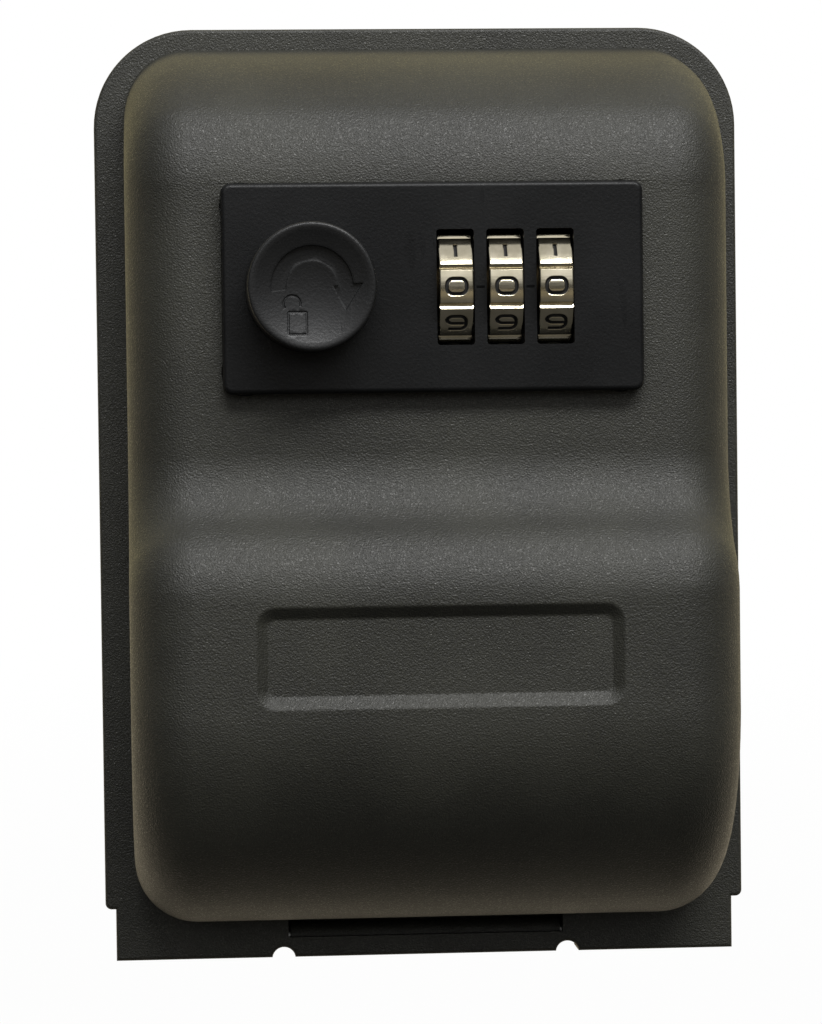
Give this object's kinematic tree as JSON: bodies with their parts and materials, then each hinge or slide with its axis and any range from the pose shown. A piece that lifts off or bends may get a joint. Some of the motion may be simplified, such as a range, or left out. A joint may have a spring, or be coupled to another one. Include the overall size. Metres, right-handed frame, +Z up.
{
  "type": "combination key safe",
  "caption": "Wall-mounted key safe: back housing, domed door hinged at its bottom edge, turn knob and number wheels that free a sliding latch.",
  "frame": {"origin": "centre of the flat back face that lies on the wall", "axes": "+X to the right seen from the front, +Z up, the front faces -Y, the wall is the plane y = 0"},
  "size_m": [0.083, 0.0394, 0.12],
  "materials": {
    "body_paint": "fine textured powder coat on cast zinc",
    "panel_plastic": "satin black moulded plastic",
    "wheel_metal": "satin nickel",
    "steel": "zinc plated steel",
    "brass": "plain brass",
    "frame_zinc": "bare cast zinc"
  },
  "bodies": {
    "housing": {"base_housing": "body_paint", "hinge_pin": "steel", "keeper_studs": "steel", "key_hook": "steel", "key_hook_screw": "steel"},
    "door": {"door_cover": "body_paint", "lock_panel": "panel_plastic", "lock_frame": "frame_zinc", "inner_cover_plate": "steel", "lock_screws": "steel", "detent_spring": "steel", "detent_spring_screws": "steel"},
    "knob": {"knob": "panel_plastic", "knob_spindle": "steel", "spindle_clip": "steel"},
    "latch": {"latch_plate": "steel", "gate_rod": "steel"},
    "wheel_1": {"number_wheel_1": "wheel_metal"},
    "wheel_2": {"number_wheel_2": "wheel_metal"},
    "wheel_3": {"number_wheel_3": "wheel_metal"},
    "sleeve_1": {"code_sleeve_1": "brass"},
    "sleeve_2": {"code_sleeve_2": "brass"},
    "sleeve_3": {"code_sleeve_3": "brass"},
    "reset": {"reset_slide": "brass"}
  },
  "joints": [
    {"name": "door_hinge", "type": "hinge", "parent": "housing", "child": "door", "pos_m": [0, -0.0028, -0.0575], "axis": [1, 0, 0], "range_deg": [0, 90]},
    {"name": "knob_turn", "type": "hinge", "parent": "door", "child": "knob", "pos_m": [-0.01505, -0.026, 0.0258], "axis": [0, 1, 0], "range_deg": [-90, 0]},
    {"name": "latch_slide", "type": "slide", "parent": "door", "child": "latch", "axis": [1, 0, 0], "range_m": [0, 0.0041]},
    {"name": "wheel_1_turn", "type": "hinge", "parent": "door", "child": "wheel_1", "pos_m": [0.0027, -0.0262, 0.0258], "axis": [1, 0, 0], "continuous": true},
    {"name": "wheel_2_turn", "type": "hinge", "parent": "door", "child": "wheel_2", "pos_m": [0.0088, -0.0262, 0.0258], "axis": [1, 0, 0], "continuous": true},
    {"name": "wheel_3_turn", "type": "hinge", "parent": "door", "child": "wheel_3", "pos_m": [0.0149, -0.0262, 0.0258], "axis": [1, 0, 0], "continuous": true},
    {"name": "reset_shift", "type": "slide", "parent": "door", "child": "reset", "axis": [1, 0, 0], "range_m": [0, 0.0015]},
    {"name": "sleeve_1_shift", "type": "slide", "parent": "wheel_1", "child": "sleeve_1", "axis": [1, 0, 0], "range_m": [0, 0.0015]},
    {"name": "sleeve_2_shift", "type": "slide", "parent": "wheel_2", "child": "sleeve_2", "axis": [1, 0, 0], "range_m": [0, 0.0015]},
    {"name": "sleeve_3_shift", "type": "slide", "parent": "wheel_3", "child": "sleeve_3", "axis": [1, 0, 0], "range_m": [0, 0.0015]}
  ],
  "couplings": [
    {"joint": "knob_turn", "follows": "latch_slide", "rad_per_m": -383.01},
    {"joint": "sleeve_1_shift", "follows": "reset_shift", "ratio": 1},
    {"joint": "sleeve_2_shift", "follows": "reset_shift", "ratio": 1},
    {"joint": "sleeve_3_shift", "follows": "reset_shift", "ratio": 1}
  ]
}
